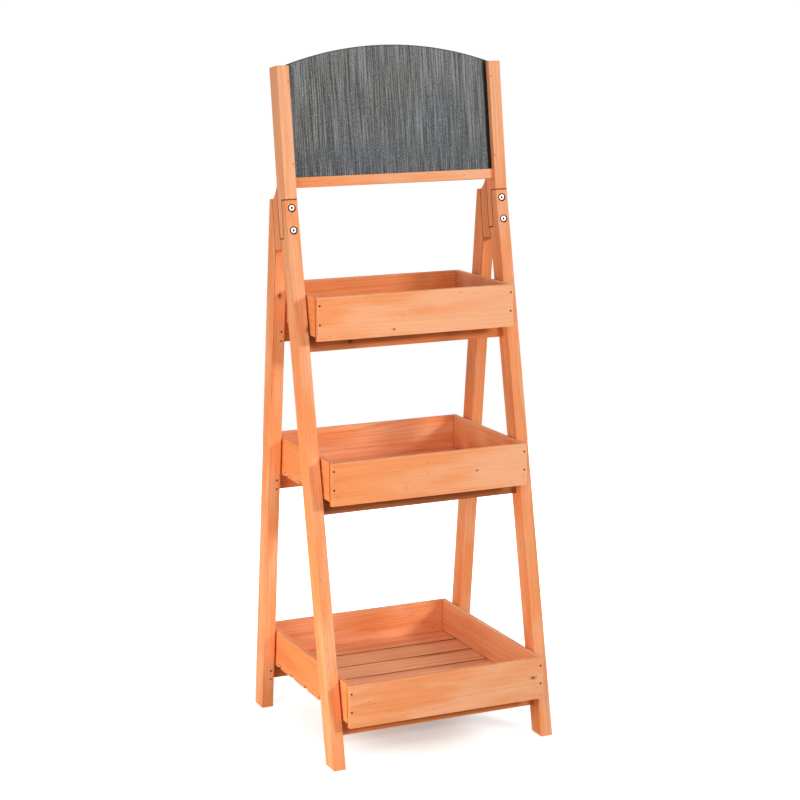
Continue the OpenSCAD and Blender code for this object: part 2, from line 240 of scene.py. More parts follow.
# %% Lamps
KEY_TINT, WALL_TINT, WARM_TINT = (1.0, 0.97, 0.94), (1.0, 1.0, 0.88), (1.0, 0.79, 0.57)
# Place, aim, width, height, watts and tint
LAMPS = {"key_lamp": ((3.27, -4.85, 2.5), (0, 0, 0.65), 1.6, 0.7, 165.0, KEY_TINT),
         "white_wall": ((0.3, 2.4, 1.3), (0, 0, 0.7), 3.0, 2.4, 27.0, WALL_TINT),
         "panel_above": ((-0.4, -2.6, 2.2), (0, 0, 0.3), 1.2, 0.8, 13.5, KEY_TINT),
         "side_reflector": ((-1.5, -0.95, 0.78), (0, 0, 0.4), 0.8, 0.36, 8.8, WARM_TINT),
         "low_reflector": ((-1.0, -0.25, 0.15), (0, 0, 0.3), 0.6, 0.3, 5.0, WARM_TINT)}


def soft_lamp(name, at, aim, wide, high, watts, tint):
    """A flat lamp that faces a point; the camera doesn't see it."""
    data = bpy.data.lights.new(name, "AREA")
    data.shape, data.size, data.size_y, data.energy, data.color = "RECTANGLE", wide, high, watts, tint
    lamp = in_scene(name, data)
    lamp.location = at
    lamp.rotation_euler = (Vector(at) - Vector(aim)).to_track_quat("Z", "Y").to_euler()
    lamp.visible_camera = False


for name, settings in LAMPS.items():
    soft_lamp(name, *settings)
print("lamps:", {name: settings[4] for name, settings in LAMPS.items()}, "watts")

# %% Room
ROOM_LIGHT, ROOM_TINT, WHITE = 0.30, (1.0, 0.96, 0.90, 1.0), (1, 1, 1, 1)


def seen_by_camera(tree):
    """1 for rays that end in the picture straight, by a mirror or through glass, else 0."""
    ray = add_node(tree, "ShaderNodeLightPath").outputs
    either = sums(tree, "MAXIMUM", ray["Is Camera Ray"], ray["Is Glossy Ray"])
    return sums(tree, "MAXIMUM", either, ray["Is Transmission Ray"])


world = bpy.data.worlds.new("pale_room")
bpy.context.scene.world = world
world.use_nodes = True
room = world.node_tree
seen = seen_by_camera(room)
plug(room, room.nodes["Background"], {"Strength": ramp(room, seen, 0.0, 1.0, ROOM_LIGHT, 1.0),
                                      "Color": blend(room, seen, ROOM_TINT, WHITE)})
print("room light", ROOM_LIGHT)

# %% Floor
def new_mesh(name, points, faces):
    """A mesh of points in metres and faces."""
    mesh = bpy.data.meshes.new(name)
    mesh.from_pydata(points.tolist(), [], faces)
    return mesh


FLOOR_R, FLOOR_RINGS, FLOOR_STEPS, PAPER, GLOW_TINT = 2.6, 13, 96, "ACAAA6", "EAF8FF"
# The paper's own glow in the picture: at the stand's middle, added past the shade, and far out
SHADE_AT, SHADE_GLOW, SHADE_R = (-0.01, -0.06, 0.0), (0.27, 0.66), (0.05, 0.20)
MELT_GLOW, MELT_R = (0.0, 0.4), (0.42, 0.95)
radii = np.linspace(0, FLOOR_R, FLOOR_RINGS + 1)[1:]
around = np.linspace(0, 2 * np.pi, FLOOR_STEPS, endpoint=False)
rings = radii[:, None, None] * np.stack([np.cos(around), np.sin(around), 0 * around], 1)[None]
spots = np.vstack([[[0, 0, 0]], rings.reshape(-1, 3)])
step = np.arange(FLOOR_STEPS)
middle = np.stack([0 * step, step + 1, (step + 1) % FLOOR_STEPS + 1], 1)
starts = (np.arange(FLOOR_RINGS - 1) * FLOOR_STEPS)[:, None]
near, beside = starts + middle[:, 1], starts + middle[:, 2]
quads = np.stack([near, near + FLOOR_STEPS, beside + FLOOR_STEPS, beside], -1).reshape(-1, 4)
paper_mesh = new_mesh("paper_floor", spots, quads.tolist() + middle.tolist())
floor = in_scene("paper_floor", paper_mesh)
paper, tree, shader = new_material("white_paper")
seen = seen_by_camera(tree)
off = vector(tree, "DISTANCE", add_node(tree, "ShaderNodeTexCoord").outputs["Object"], SHADE_AT)
melt = sums(tree, "ADD", ramp(tree, off, *SHADE_R, *SHADE_GLOW, "SMOOTHSTEP"),
            ramp(tree, off, *MELT_R, *MELT_GLOW, "SMOOTHSTEP"))
plug(tree, shader, {"Base Color": blend(tree, seen, PAPER, WHITE), "Roughness": 0.9,
                    "Specular IOR Level": 0.1, "Emission Color": linear(GLOW_TINT),
                    "Emission Strength": sums(tree, "MULTIPLY", seen, melt)})
paper_mesh.materials.append(paper)
print("floor:", len(paper_mesh.polygons), "faces")

# %% [markdown]
# ## Boards with eased edges
# A planed board is a flat outline pushed through its thickness, with every sharp edge taken
# off by sandpaper. The outline's corners are rounded by a short curve, and near both faces
# the outline shrinks along a quarter circle, so all twelve edges of a board are eased. One
# more ring of points a few millimetres inside each edge marks where the worn, paler rim
# ends. That mark is kept on the points and the wood material reads it.

# %% Outline with rounded corners
CORNER_STEPS, RIM = 3, 2.6
# How many times its ease a rounding reaches, and the most that it and the rim take up of the
# shorter edge beside a corner; the last is for the rim's depth in a hollow corner
REACH, MOST_ROUND, MOST_RIM, MOST_HOLLOW = 1.6, 0.35, 0.45, 0.4


def outline_runs(corners, ease, rim):
    """For a corner P with unit directions a and b to its neighbours, the rounding is
    P + t ((1 - s)^2 a + s^2 b) for s from 0 to 1, between two points a rim's width away.
    Returns the points, their outward normals, the points moved inwards past the rim, and
    a mark of 1 on the rounding and 0 beside it."""
    p = np.asarray(corners, float)
    back, ahead = np.roll(p, 1, 0) - p, np.roll(p, -1, 0) - p
    length_a, length_b = np.linalg.norm(back, axis=1), np.linalg.norm(ahead, axis=1)
    room = np.minimum(length_a, length_b)[:, None]
    a, b = back / length_a[:, None], ahead / length_b[:, None]
    normal_a, normal_b = np.stack([-a[:, 1], a[:, 0]], 1), np.stack([b[:, 1], -b[:, 0]], 1)
    t = np.minimum(REACH * ease, MOST_ROUND * room)[:, None]
    s = np.linspace(0, 1, CORNER_STEPS + 1)[None, :, None]
    arc = p[:, None] + t * ((1 - s) ** 2 * a[:, None] + s ** 2 * b[:, None])
    slope = s * b[:, None] - (1 - s) * a[:, None]
    slope /= np.linalg.norm(slope, axis=2, keepdims=True)
    arc_normal = np.stack([slope[..., 1], -slope[..., 0]], 2)
    dot = (normal_a * normal_b).sum(1, keepdims=True)
    tan_half = np.sqrt((1 + dot) / np.maximum(1 - dot, 1e-9))
    convex = (b[:, :1] * a[:, 1:] - b[:, 1:] * a[:, :1]) > 0
    away = np.minimum(np.where(convex, rim * np.maximum(1, 1 / tan_half), rim), MOST_RIM * room)
    hollow = np.minimum(rim, MOST_HOLLOW * room)
    depth = np.where(convex, np.minimum(rim, away * tan_half), hollow)
    mitre = p - (normal_a + normal_b) * depth / (1 + dot)
    points = np.concatenate([(p + a * away)[:, None], arc, (p + b * away)[:, None]], 1)
    normals = np.concatenate([normal_a[:, None], arc_normal, normal_b[:, None]], 1)
    inner = np.concatenate([(p + a * away - normal_a * depth)[:, None],
                            np.repeat(mitre[:, None], CORNER_STEPS + 1, 1),
                            (p + b * away - normal_b * depth)[:, None]], 1)
    mark = np.ones(points.shape[:2])
    mark[:, [0, -1]] = 0
    return points.reshape(-1, 2), normals.reshape(-1, 2), inner.reshape(-1, 2), mark.ravel()


# %% Board from an outline
def board_mesh(name, corners, low, high, place, ease=1.0, rim=RIM):
    """Rings of the outline from one face to the other: inwards by ease (1 - sin q) at a
    depth of ease (1 - cos q) under each face, for q from 0 to 90 degrees. place(u, v, w)
    turns outline and depth to X, Y, Z in millimetres."""
    points, normals, inner, mark = outline_runs(corners, ease, rim)
    q = np.linspace(0, np.pi / 2, CORNER_STEPS + 1)
    inset, depth = ease * (1 - np.sin(q)), ease * (1 - np.cos(q))
    plain = min(ease + rim, 0.48 * (high - low))
    half = [inner] + [points - normals * d for d in inset] + [points]
    depths = np.concatenate([[0], depth, [plain]])
    rim_mark = np.concatenate([[0], np.ones(CORNER_STEPS + 1), [0]])
    flat = np.concatenate([np.stack(half), np.stack(half[::-1])])
    w = np.concatenate([low + depths, (high - depths)[::-1]])
    edge = np.maximum(np.concatenate([rim_mark, rim_mark[::-1]])[:, None], mark[None])
    edge[[0, -1]] = 0
    spots = place(flat[..., 0], flat[..., 1], np.broadcast_to(w[:, None], flat.shape[:2]))
    rows, cols = flat.shape[:2]
    i, j = np.meshgrid(np.arange(rows - 1), np.arange(cols), indexing="ij")
    k = (j + 1) % cols
    here, above = i * cols, (i + 1) * cols
    quads = np.stack([here + j, here + k, above + k, above + j], -1).reshape(-1, 4)
    ends = [list(range(cols))[::-1], list(range((rows - 1) * cols, rows * cols))]
    mesh = new_mesh(name, np.stack(spots, -1).reshape(-1, 3) / 1000, quads.tolist() + ends)
    keep_mark(mesh, "edge", edge)
    clean(mesh)
    return mesh


def keep_mark(mesh, name, values, kind="FLOAT", domain="POINT"):
    """Keeps a value for each point or face under a name, in place of an older one."""
    kept = mesh.attributes.get(name) or mesh.attributes.new(name, kind, domain)
    field = "vector" if kind == "FLOAT_VECTOR" else "value"
    kept.data.foreach_set(field, np.ravel(values).astype(np.float32))


def read(items, field, wide=1):
    """One field of all points or faces as rows of numbers."""
    values = np.empty(len(items) * wide, np.float32)
    items.foreach_get(field, values)
    return values.reshape(-1, wide) if wide > 1 else values


def clean(mesh):
    """Merges doubled points and turns all faces outwards."""
    work = bmesh.new()
    work.from_mesh(mesh)
    bmesh.ops.remove_doubles(work, verts=work.verts, dist=1e-6)
    bmesh.ops.recalc_face_normals(work, faces=work.faces)
    work.to_mesh(mesh)
    work.free()


def rectangle(u, v, wide, high):
    """Corners of a rectangle, anticlockwise from its lowest corner."""
    return [(u, v), (u + wide, v), (u + wide, v + high), (u, v + high)]


# %% [markdown]
# ## Holes
# Nails, bolts and rail ends sit in real holes. A hole for a nail or bolt is a profile
# turned round an axis, flared at its mouth as a driven nail or a countersink leaves it, and
# a pocket is a plain block. Booleans take them out while the board is made, and what is
# left is the finished mesh.

# %% Turned shapes
def turned(profile, at, along, steps, hollow=False):
    """Points r(s) (cos q e1 + sin q e2) + y(s) along, for a profile of (r, y) pairs round
    the axis that starts at a point and runs along a direction; r is one radius or one for
    each angle. The last ring of a hollow shape joins the first, and a solid one has a flat
    cap at each end. Returns points and faces."""
    r = np.stack([np.broadcast_to(radius, steps) for radius, height in profile])
    y = np.array([height for radius, height in profile], float)
    d = np.asarray(along, float) / np.linalg.norm(along)
    e1 = np.cross(d, (1.0, 0.0, 0.0) if abs(d[0]) < 0.9 else (0.0, 0.0, 1.0))
    e1 /= np.linalg.norm(e1)
    e2 = np.cross(d, e1)
    q = np.linspace(0, 2 * np.pi, steps, endpoint=False)
    round_part = np.cos(q)[:, None] * e1 + np.sin(q)[:, None] * e2
    points = np.asarray(at) + r[..., None] * round_part + (y[:, None] * d)[:, None]
    i, j = np.meshgrid(np.arange(len(r) if hollow else len(r) - 1), np.arange(steps), indexing="ij")
    here, above, k = i * steps, (i + 1) % len(r) * steps, (j + 1) % steps
    quads = np.stack([here + j, here + k, above + k, above + j], -1).reshape(-1, 4)
    last = (len(r) - 1) * steps
    caps = [] if hollow else [list(range(steps))[::-1], list(range(last, last + steps))]
    return points.reshape(-1, 3), quads.tolist() + caps


def block(u, v, w, place):
    """The eight corners and six faces of a block between pairs of u, v and w."""
    grid = np.stack(np.meshgrid(u, v, w, indexing="ij"), -1).reshape(-1, 3)
    points = np.stack(place(grid[:, 0], grid[:, 1], grid[:, 2]), -1)
    return points, [[0, 1, 3, 2], [4, 6, 7, 5], [0, 4, 5, 1], [2, 3, 7, 6], [0, 2, 6, 4], [1, 5, 7, 3]]


def joined_mesh(name, shapes):
    """Several shapes of points and faces as one mesh, in metres."""
    starts = np.cumsum([0] + [len(points) for points, part in shapes[:-1]])
    faces = [[int(k + start) for k in face] for (points, part), start in zip(shapes, starts) for face in part]
    mesh = new_mesh(name, np.concatenate([points for points, part in shapes]) / 1000, faces)
    clean(mesh)
    return mesh


def cut(mesh, *groups):
    """The mesh with each group of shapes taken out of it, one Boolean for each group."""
    holder = in_scene("being_cut", mesh)
    cutters = [in_scene("cutter", joined_mesh("cutter", shapes)) for shapes in groups]
    for cutter in cutters:
        step = holder.modifiers.new("holes", "BOOLEAN")
        step.operation, step.solver, step.object = "DIFFERENCE", "EXACT", cutter
    bpy.context.view_layer.update()
    result = bpy.data.meshes.new_from_object(holder.evaluated_get(bpy.context.evaluated_depsgraph_get()))
    result.name = mesh.name
    for spare in [holder] + cutters:
        bpy.data.objects.remove(spare)
    return result


# %% Holes for nails and bolts
NAIL_R, NAIL_HEAD_R, NAIL_HEAD_T, NAIL_FIT = 1.0, 1.9, 0.8, 0.05
BOLT_R, BOLT_FIT, RECESS_R, HEAD_SINK, HEAD_H, SEAT_T = 3.0, 0.25, 7.25, 0.8, 6.0, 12.0
BOLT_DROPS, BOLT_X = (15.5, 56.0), (STAND_W - LEG_W) / 2
NUT_SEAT = BLOCK_BACK + SEAT_T
PAST, NAIL_STEPS, BOLT_STEPS = 1.0, 24, 48


def nail_hole(at, along, length):
    """A nail's bore with its mouth crushed to a shallow flare."""
    r, head = NAIL_R + NAIL_FIT, NAIL_HEAD_R + NAIL_FIT
    profile = [(head + 1.4, -PAST), (head, 0.4), (head, NAIL_HEAD_T), (r, NAIL_HEAD_T), (r, length)]
    return turned(profile, at, along, NAIL_STEPS)


def post_point(x, across, along):
    """X, Y, Z of a point given across and along a header post from the joint line."""
    return (x, STAND_Y + JOINT_Y + across * np.cos(POST_LEAN) + along * np.sin(POST_LEAN),
            JOINT_H - across * np.sin(POST_LEAN) + along * np.cos(POST_LEAN))


ACROSS_POST = np.array([0, np.cos(POST_LEAN), -np.sin(POST_LEAN)])


def leg_face(along):
    """Place of the front leg's face across the post, at a height along it."""
    return along * np.tan(FRONT_LEAN - POST_LEAN)


def leg_back(along):
    """Place of the front leg's back face across the post, at a height along it."""
    return leg_face(along) + LEG_D / np.cos(FRONT_LEAN - POST_LEAN)


def bolt_seat(drop):
    """How far across the post a bolt's head is seated, at a drop below the joint line."""
    return leg_face(-drop) + HEAD_SINK + HEAD_H


def bolt_holes(side):
    """The two bores of a joint, with a recess for the head and one for the nut."""
    shapes, r = [], BOLT_R + BOLT_FIT
    for drop in BOLT_DROPS:
        mouth, seat = leg_face(-drop), bolt_seat(drop)
        profile = [(RECESS_R + 1.6, mouth - 1), (RECESS_R, mouth + 0.7), (RECESS_R, seat), (r, seat),
                   (r, NUT_SEAT), (RECESS_R, NUT_SEAT), (RECESS_R, NUT_SEAT + 60)]
        shapes.append(turned(profile, post_point(side * BOLT_X, 0, -drop), ACROSS_POST, BOLT_STEPS))
    return shapes


# %% [markdown]
# ## Wood that knows its log
# Stained fir shows the log that it was sawn from: growth rings make long lines on the faces
# and arcs on the ends. Each board's points carry their place in an imaginary log, along and
# around its heart, and the material draws the rings there. Boards take their places from
# seeded random draws, so no two look alike. More marks go with it: the place of a knot,
# where the rim is worn, which faces are end grain, the board's tone, and the dark lines of
# joints and of painted shade. Some tones are painted shade and some fades painted light.
# Tones and knots are read from the photograph, board by board.

# %% Knots and tones
# A knot is the place of its centre and its radius; a tone above 0 is deeper, below 0 paler
front_y = {level: tray_span(level)[0] + STAND_Y for level in LEVELS}
NO_KNOT = (5000.0, 5000.0, 5000.0, 3.0)
KNOTS = {"front_leg_left": (-202, -54, 793, 3.0), "rear_leg_left": (-214, 57, 842, 2.4),
         "front_rail_top": (-114, -41, 763, 4.0), "top_tray_front": (-47, front_y["top"], 788, 1.3),
         "middle_tray_front": (94, front_y["middle"], 520, 1.1),
         "bottom_tray_front": (177, front_y["bottom"], 125, 2.2)}
# The front rails' deep tones are painted shade: they stand for the shadow that the trays' front boards cast
# on them
TONES = {"header_post": -0.85, "front_leg": -0.5, "rear_leg": -0.5, "joint_block": 0.1,
         "front_rail_top": 1.9, "front_rail_middle": 2.6, "front_rail_bottom": 1.0, "rear_rail": 0.8,
         "chalkboard_ledge": -0.5, "top_tray_front": -0.85, "middle_tray_front": -0.5,
         "bottom_tray_front": -0.3, "top_tray_back": 0.5, "middle_tray_back": -0.5,
         "bottom_tray_back": -0.3, "left": 0.3, "right": -0.75, "slat": -1.7}
# Half of how much deeper one end of a board is than the other; the tray fronts and the ledge paler to the
# right and the rear legs paler at the foot are painted light, where more light falls
FADES = {"header_post": -0.4, "rear_leg": 0.2, "chalkboard_ledge": -0.8, "top_tray_front": -0.5,
         "middle_tray_front": -0.7, "bottom_tray_front": -0.2}
print("boards with a knot:", len(KNOTS), "tones:", len(TONES))

# %% Placing a board in its log
draw = np.random.default_rng(41)
DARK_LINE_NEAR = 1.6
# A heart's least place beside and below its board in millimetres and how much further it may
# lie, a log's length in metres, how far the tones of like boards differ, and how squarely a
# face has to look along the grain to be end grain
HEART_LEAST, HEART_MORE, LOG_L, TONE_SPREAD, END_SQUARE = (20, 25), (45, 50), 6, 0.5, 0.75
pieces = []


def near_dark_lines(points, dark_lines):
    """exp(-(d / DARK_LINE_NEAR)^2) for the distance d in millimetres from each point to the
    nearest of several straight dark lines, joints and painted shade alike, each a pair of end points."""
    first, last = (np.array([pair[k] for pair in dark_lines], float) for k in (0, 1))
    run = last - first
    from_first = points[:, None] - first
    share = np.clip((from_first * run).sum(2) / np.maximum((run ** 2).sum(1), 1e-9), 0, 1)
    d = np.linalg.norm(from_first - share[..., None] * run, axis=2).min(1)
    return np.exp(-(d / DARK_LINE_NEAR) ** 2)


def dress(name, mesh, body, kind, along, thick, worn=0.0, figure=1.0, dark_lines=(), bores=()):
    """Makes the wooden piece that stands for a node; kind says whose tone it has. along and
    thick are unit directions in space of the grain and of the board's thickness; a point's
    place in the log is its distances along them and across, from a heart drawn at random
    beside the board. The mark for a knot counts in its radii. A tone fades from one end of
    the grain to the other; on some boards the fade is painted light. A bore is a place, a
    direction and a radius; its wall is painted dark as the shade in a recess. worn says how
    pale the rims are, and figure how strongly the late wood shows."""
    along, thick = np.asarray(along, float), np.asarray(thick, float)
    axes = np.stack([along, np.cross(thick, along), thick])
    co = read(mesh.vertices, "co", 3)
    middle = (co.min(0) + co.max(0)) / 2
    chance = draw.uniform(size=4)
    heart = [least + more * k for least, more, k in zip(HEART_LEAST, HEART_MORE, chance[1:3])]
    shift = np.array([chance[0] * LOG_L, np.sign(chance[3] - 0.5) * heart[0] / 1000, heart[1] / 1000])
    knot = np.asarray(KNOTS.get(name, NO_KNOT))
    keep_mark(mesh, "grain", (co - middle) @ axes.T + shift, "FLOAT_VECTOR")
    keep_mark(mesh, "knot", (1000 * co - knot[:3]) @ axes.T / knot[3], "FLOAT_VECTOR")
    square = np.abs(read(mesh.polygons, "normal", 3) @ along)
    keep_mark(mesh, "end", square > END_SQUARE, domain="FACE")
    reach = (co - middle) @ along
    fade = FADES.get(kind, 0.0) * reach / np.abs(reach).max()
    keep_mark(mesh, "tone", TONES[kind] + TONE_SPREAD * (chance[3] - 0.5) + fade)
    keep_mark(mesh, "figure", np.full(len(co), figure))
    rim = read(mesh.attributes["edge"].data, "value")
    dark = rim * near_dark_lines(1000 * co, dark_lines) if len(dark_lines) else 0 * rim
    rest = co @ axes[1:].T
    inside = ((rest > rest.min(0) + 0.0001) & (rest < rest.max(0) - 0.0001)).all(1)
    # Bore walls are painted dark, as the shade in the bolt recesses
    for at, line, radius in bores:
        off = 1000 * co - np.asarray(at)
        off = np.linalg.norm(off - (off @ line)[:, None] * line, axis=1)
        dark = np.where(inside & (off < radius), 1.0, dark)
    keep_mark(mesh, "seam_and_shade", dark)
    keep_mark(mesh, "edge", worn * rim * (1 - dark))
    stand_in(name, mesh, body, fir)


def stand_in(node, mesh, body, material):
    """A piece that replaces a node of the frame and rides on the node's body."""
    mesh.name = node + "_look"
    mesh.materials.clear()
    mesh.materials.append(material)
    piece = in_scene(node + "_look", mesh)
    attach(piece, body)
    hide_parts(node)
    pieces.append(piece)


# %% [markdown]
# ## Stained fir
# Fir planed smooth and dipped in an orange water stain: matte, with no film on top. The
# stain goes in unevenly, in soft clouds, and hides most of the figure; the hard late wood
# shows as faint darker lines some six millimetres apart, and rubbed edges are paler. Rings
# are distances from the log's heart, bent by slow noise; fibres are noise stretched along
# the grain. The real fibres are under half a millimetre wide and would not show, so they
# are drawn two millimetres wide, with a finer set for the bump. Where two boards meet, the
# open joint is darker with stain and dust; the same dark colour is painted shade along the
# blocks' lower edges, between the slats and in the bolt recesses. The gloss is kept very
# low, or the white room would lie as a haze on the sides that are seen at a slant.

# %% Stained fir
PALE, BODY, RICH, LATE, DEEP = "FCBC93", "F7A16B", "F09258", "D67D48", "A0643F"
END_GRAIN, WORN, KNOT_CORE, FLECK, SEAM_AND_SHADE = "D2743C", "FFC096", "6B3A1C", "A5653A", "8A3408"
RING_MM = 6.2
# Length along the grain and width across it, in millimetres, and how many finer layers
LOG_NOISE = {"slow bends": (420, 38, 1), "quick bends": (110, 9, 1), "fibres": (95, 2.2, 3),
             "fine": (30, 0.7, 2), "blotches": (150, 30, 2), "specks": (9, 1.4, 0),
             "specked parts": (50, 14, 1), "rubbed parts": (22, 5, 2), "patchy parts": (45, 6, 1)}
FIBRE_ROUGH, BUMP_M = 0.6, 0.00022
# How fast one moves out of a knot along the grain, across it and through the board
KNOT_SHAPE = (0.6, 1.0, 0.15)


def stained_fir():
    material, tree, shader = new_material("stained_fir")
    log = mark_of(tree, "grain", "Vector")

    def math(*values, clamp=False):
        return sums(tree, *values, clamp=clamp)

    def step(value, *limits):
        return ramp(tree, value, *limits, shape="SMOOTHSTEP")

    def noise(name):
        along, across, layers = LOG_NOISE[name]
        rough = FIBRE_ROUGH if name in ("fibres", "fine") else 0.5
        return grains(tree, log, (along, across, across), layers, rough)

    # Distance from the knot in knot radii, with the knot drawn out along the grain
    from_knot = vector(tree, "LENGTH", vector(tree, "MULTIPLY", mark_of(tree, "knot", "Vector"), KNOT_SHAPE))
    # Rings: distance from the heart in ring widths, wider round a knot and bent by noise
    radius = vector(tree, "LENGTH", vector(tree, "MULTIPLY", log, (0.0, 1.0, 1.0)))
    swell = math("MULTIPLY_ADD", noise("quick bends"), 0.0022, step(from_knot, 0.0, 6.0, 0.006, 0.0))
    radius = math("ADD", math("MULTIPLY_ADD", noise("slow bends"), 0.026, radius), swell)
    turns = math("DIVIDE", radius, RING_MM / 1000)
    phase = math("FRACT", turns)
    late = math("MULTIPLY", step(phase, 0.25, 0.86), step(phase, 0.90, 1.0, 1.0, 0.0))
    own = add_node(tree, "ShaderNodeTexWhiteNoise", {"W": math("FLOOR", turns)}, noise_dimensions="1D")
    late = math("MULTIPLY", late, math("MULTIPLY_ADD", own.outputs["Value"], 0.75, 0.25))
    # Colour: tone and blotches first, then late wood, fibres and small flecks
    tone = math("ADD", mark_of(tree, "tone"), step(noise("blotches"), 0.30, 0.70, -0.40, 0.40))
    colour = blend(tree, step(tone, -1.0, 0.0), PALE, BODY)
    colour = blend(tree, step(tone, 0.0, 1.0), colour, RICH)
    colour = blend(tree, step(tone, 1.0, 2.4), colour, DEEP)
    figure, fibre = mark_of(tree, "figure"), noise("fibres")
    lines = math("MULTIPLY", math("MULTIPLY", late, figure), 0.30, clamp=True)
    dark_fibres = math("MULTIPLY", step(fibre, 0.50, 0.80, 0.0, 0.40), figure, clamp=True)
    colour = blend(tree, dark_fibres, blend(tree, lines, colour, LATE), LATE)
    colour = blend(tree, step(fibre, 0.24, 0.46, 0.30, 0.0), colour, PALE)
    fleck = math("MULTIPLY", step(noise("specks"), 0.68, 0.78), step(noise("specked parts"), 0.54, 0.66))
    colour = blend(tree, math("MULTIPLY", fleck, 0.5), colour, FLECK)
    # End grain, and the knot: a dark core with a soft brown ring
    end = math("MULTIPLY", mark_of(tree, "end"), math("MULTIPLY_ADD", late, 0.4, 0.3))
    colour = blend(tree, end, colour, END_GRAIN)
    colour = blend(tree, step(from_knot, 1.0, 3.0, 0.45, 0.0), colour, DEEP)
    colour = blend(tree, step(from_knot, 0.6, 1.2, 0.85, 0.0), colour, KNOT_CORE)
    # Rims rubbed pale in patches, and dark joints
    rubbed = math("MULTIPLY", mark_of(tree, "edge"), step(noise("rubbed parts"), 0.36, 0.62, 0.2, 1.0))
    colour = blend(tree, rubbed, colour, WORN)
    uneven = math("MULTIPLY_ADD", noise("patchy parts"), 0.9, 0.5)
    # Dark lines: open joints, and painted shade along the blocks' lower edges, the slat gaps and the bolt
    # recesses
    seam_and_shade = step(math("MULTIPLY", mark_of(tree, "seam_and_shade"), uneven), 0.25, 0.80, 0.0, 0.9)
    rough = math("MULTIPLY_ADD", fibre, 0.20, math("MULTIPLY_ADD", late, -0.08, 0.54))
    relief = math("MULTIPLY_ADD", noise("fine"), 0.5, math("MULTIPLY", fibre, 0.6))
    relief = math("ADD", relief, math("MULTIPLY", late, 0.35))
    plug(tree, shader, {"Base Color": blend(tree, seam_and_shade, colour, SEAM_AND_SHADE), "IOR": 1.5,
                        "Specular IOR Level": 0.1, "Roughness": math("MAXIMUM", rough, seam_and_shade),
                        "Normal": bumps(tree, relief, BUMP_M, 0.7)})
    return material


fir = stained_fir()
print("stained fir:", len(fir.node_tree.nodes), "nodes")

# %% [markdown]
# ## Legs
# A leg is one stick: its side view, pushed 23.5 mm through. A front leg is cut level at the
# foot and along the joint line at the top, with a lap for the post's tongue. A rear leg is
# cut level at both ends and bevelled where it lies against the block. The rails' ends are
# let into pockets that open to the back and to the inside.

# %% Front and rear legs
def side_place(u, v, w):
    """Side view to space: u is Y, v is Z and w is X."""
    return w, u + STAND_Y, v


def meet(point_a, slope_a, point_b, slope_b):
    """Where two straight lines in the side view cross."""
    a, b = np.asarray(point_a, float), np.asarray(point_b, float)
    solved = np.linalg.solve(np.array([slope_a, [-s for s in slope_b]], float).T, b - a)
    return tuple(a + solved[0] * np.asarray(slope_a, float))


POST_X, POST_UP = (np.cos(POST_LEAN), -np.sin(POST_LEAN)), (np.sin(POST_LEAN), np.cos(POST_LEAN))
LEG_UP, REAR_UP = (np.sin(FRONT_LEAN), np.cos(FRONT_LEAN)), (-np.sin(REAR_LEAN), np.cos(REAR_LEAN))
JOINT = np.array([JOINT_Y, JOINT_H])


def on_post(across, along):
    """Side view point from distances across and along the post."""
    return JOINT + across * np.array(POST_X) + along * np.array(POST_UP)


front_foot, front_heel = (-FOOT_D / 2, 0), (-FOOT_D / 2 + LEG_D / np.cos(FRONT_LEAN), 0)
rear_toe, rear_heel = (FOOT_D / 2 - LEG_D / np.cos(REAR_LEAN), 0), (FOOT_D / 2, 0)
front_leg_corners = [front_foot, front_heel, meet(front_heel, LEG_UP, on_post(0, -TONGUE_L), POST_X),
                     on_post(LAP_D, -TONGUE_L), on_post(LAP_D, 0), on_post(0, 0)]
rear_leg_corners = [rear_toe, rear_heel, meet(rear_heel, REAR_UP, (0, REAR_TOP), (1, 0)),
                    meet((0, REAR_TOP), (1, 0), on_post(BLOCK_BACK, 0), POST_UP),
                    meet(on_post(BLOCK_BACK, 0), POST_UP, rear_toe, REAR_UP)]


def rail_corners(level, rail_y, depth, past=0.0):
    """Side view of a rail, its back face flush with the leg's back or past it."""
    low, high, back = LEVEL_Z[level] - RAIL_H, LEVEL_Z[level], depth + past
    return [(rail_y(low), low), (rail_y(low) + back, low), (rail_y(high) + back, high), (rail_y(high), high)]


RAIL_Y = {"front": front_rail_y, "rear": rear_rail_y}
LEAN = {"front": -FRONT_LEAN, "rear": REAR_LEAN}
RAIL_DEPTH = {end: (LEG_D - RAIL_SET) / np.cos(lean) for end, lean in LEAN.items()}
RAIL_NAIL_L = 36.0


def pocket(end, level, side):
    """The pocket for a rail's end in a leg, open at the leg's inner face and back."""
    corners = np.array(rail_corners(level, RAIL_Y[end], RAIL_DEPTH[end], PAST))
    deep, open_x = side * (INNER_X + RAIL_IN), side * (INNER_X - PAST)
    points = np.stack([side_place(u, v, w) for w in (deep, open_x) for u, v in corners])
    return points, [[0, 1, 2, 3], [7, 6, 5, 4], [0, 4, 5, 1], [1, 5, 6, 2], [2, 6, 7, 3], [3, 7, 4, 0]]


def rail_nail_spots(end, side):
    """Head centres and directions of the nails through one leg: from behind through a
    front rail, from the front through a rear leg."""
    square = np.array([0, np.cos(LEAN[end]), np.sin(LEAN[end])])
    into, head = (-square, LEG_D - RAIL_SET) if end == "front" else (square, -RAIL_SET)
    spots = []
    for level in LEVELS:
        for up in (-1, 1):
            z = LEVEL_Z[level] - RAIL_H / 2 + up * RAIL_NAIL_GAP / 2
            at = np.array([side * (INNER_X + RAIL_NAIL_IN), STAND_Y + RAIL_Y[end](z), z]) + square * head
            spots.append((at, into))
    return spots


def shaded_bolt_bores(side):
    """The bores of one joint: a place on the axis, its direction, and how far the painted shade of the recess
    goes.
    """
    return [(post_point(side * BOLT_X, 0, -drop), ACROSS_POST, RECESS_R + 0.05) for drop in BOLT_DROPS]


